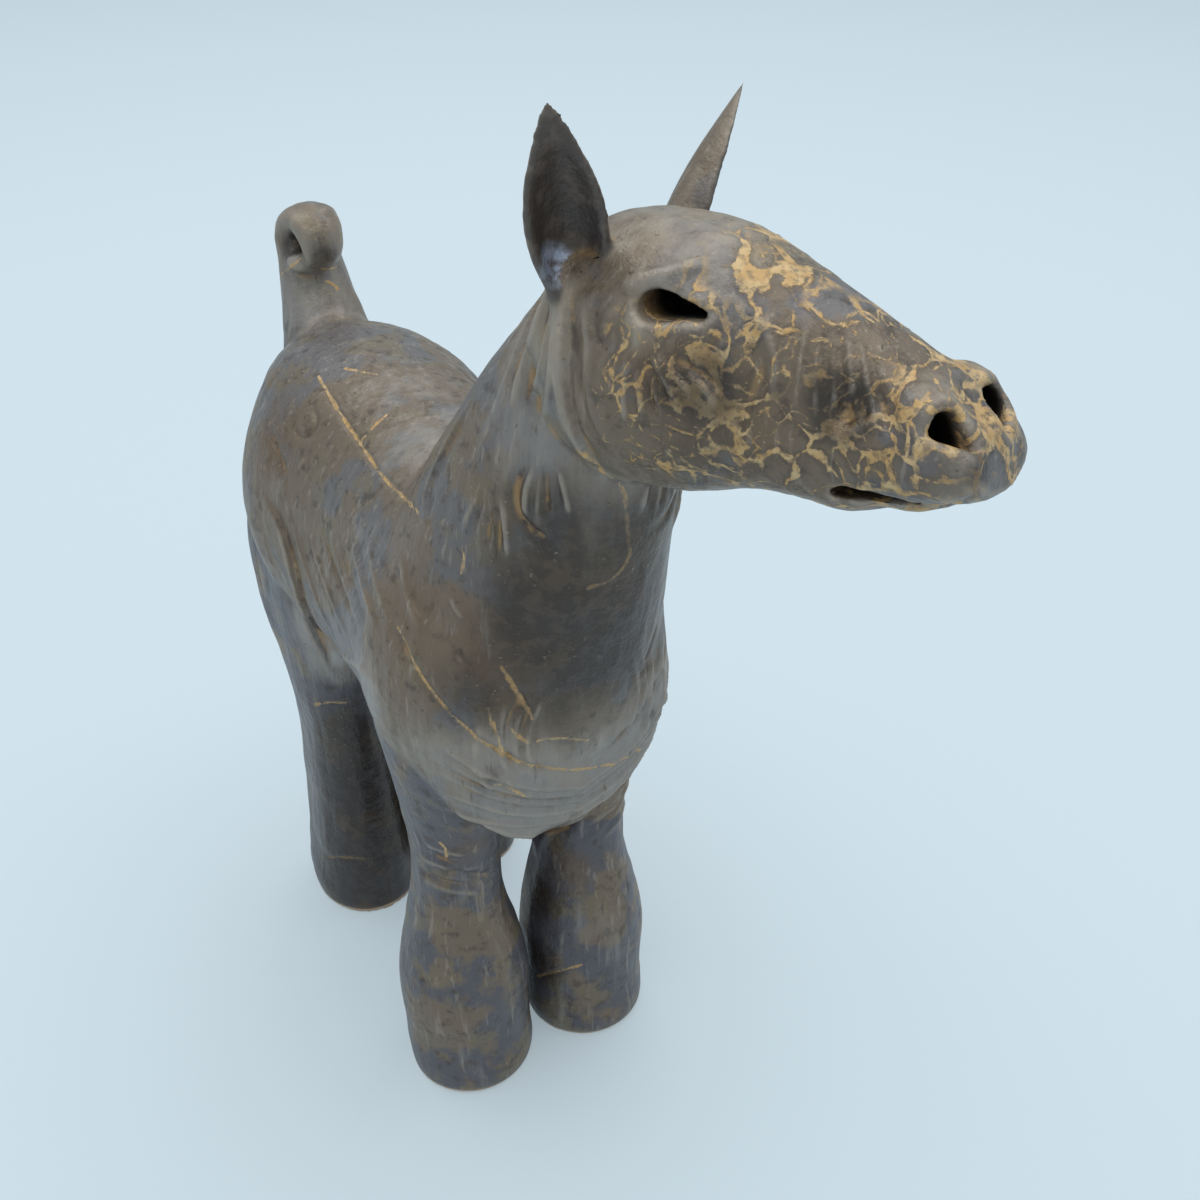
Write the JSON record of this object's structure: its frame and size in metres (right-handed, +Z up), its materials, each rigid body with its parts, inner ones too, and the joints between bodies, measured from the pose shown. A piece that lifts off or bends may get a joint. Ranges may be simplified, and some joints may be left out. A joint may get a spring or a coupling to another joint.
{
  "type": "stoneware horse figure",
  "caption": "Hollow hand-built stoneware horse standing on broad hooves, head turned to its left, with cupped ears, pierced eyes and nostrils and a curled tail.",
  "frame": {"origin": "on the ground under the middle of the overall box, with the hooves on Z = 0", "axes": "+X towards the chest, +Y to the horse's left, +Z up"},
  "size_m": [0.3146, 0.1153, 0.3813],
  "materials": {
    "trunk_glaze": "satin bronze-brown glaze with slate-grey patches",
    "neck_glaze": "satin bronze-brown glaze with slate-grey patches",
    "head_glaze": "satin bronze-brown glaze with gold-brown deposits",
    "leg_glaze": "satin dark brown glaze",
    "bare_clay": "matt unglazed stoneware"
  },
  "bodies": {
    "root": {"back_shell": "trunk_glaze", "belly_shell": "trunk_glaze", "front_left_hoof": "leg_glaze", "front_left_leg": "leg_glaze", "front_left_shoulder": "leg_glaze", "front_right_hoof": "leg_glaze", "front_right_leg": "leg_glaze", "front_right_shoulder": "leg_glaze", "hind_left_haunch": "leg_glaze", "hind_left_hoof": "leg_glaze", "hind_left_leg": "leg_glaze", "hind_right_haunch": "leg_glaze", "hind_right_hoof": "leg_glaze", "hind_right_leg": "leg_glaze", "hoof_seam_bands": "bare_clay", "hoof_soles": "bare_clay", "left_ear": "head_glaze", "left_eyelid": "head_glaze", "leg_seam_bands": "bare_clay", "lower_jaw": "head_glaze", "muzzle_plate": "head_glaze", "neck_left_slab": "neck_glaze", "neck_right_slab": "neck_glaze", "right_ear": "head_glaze", "right_eyelid": "head_glaze", "skull_shell": "head_glaze", "tail": "trunk_glaze"}
  },
  "joints": []
}
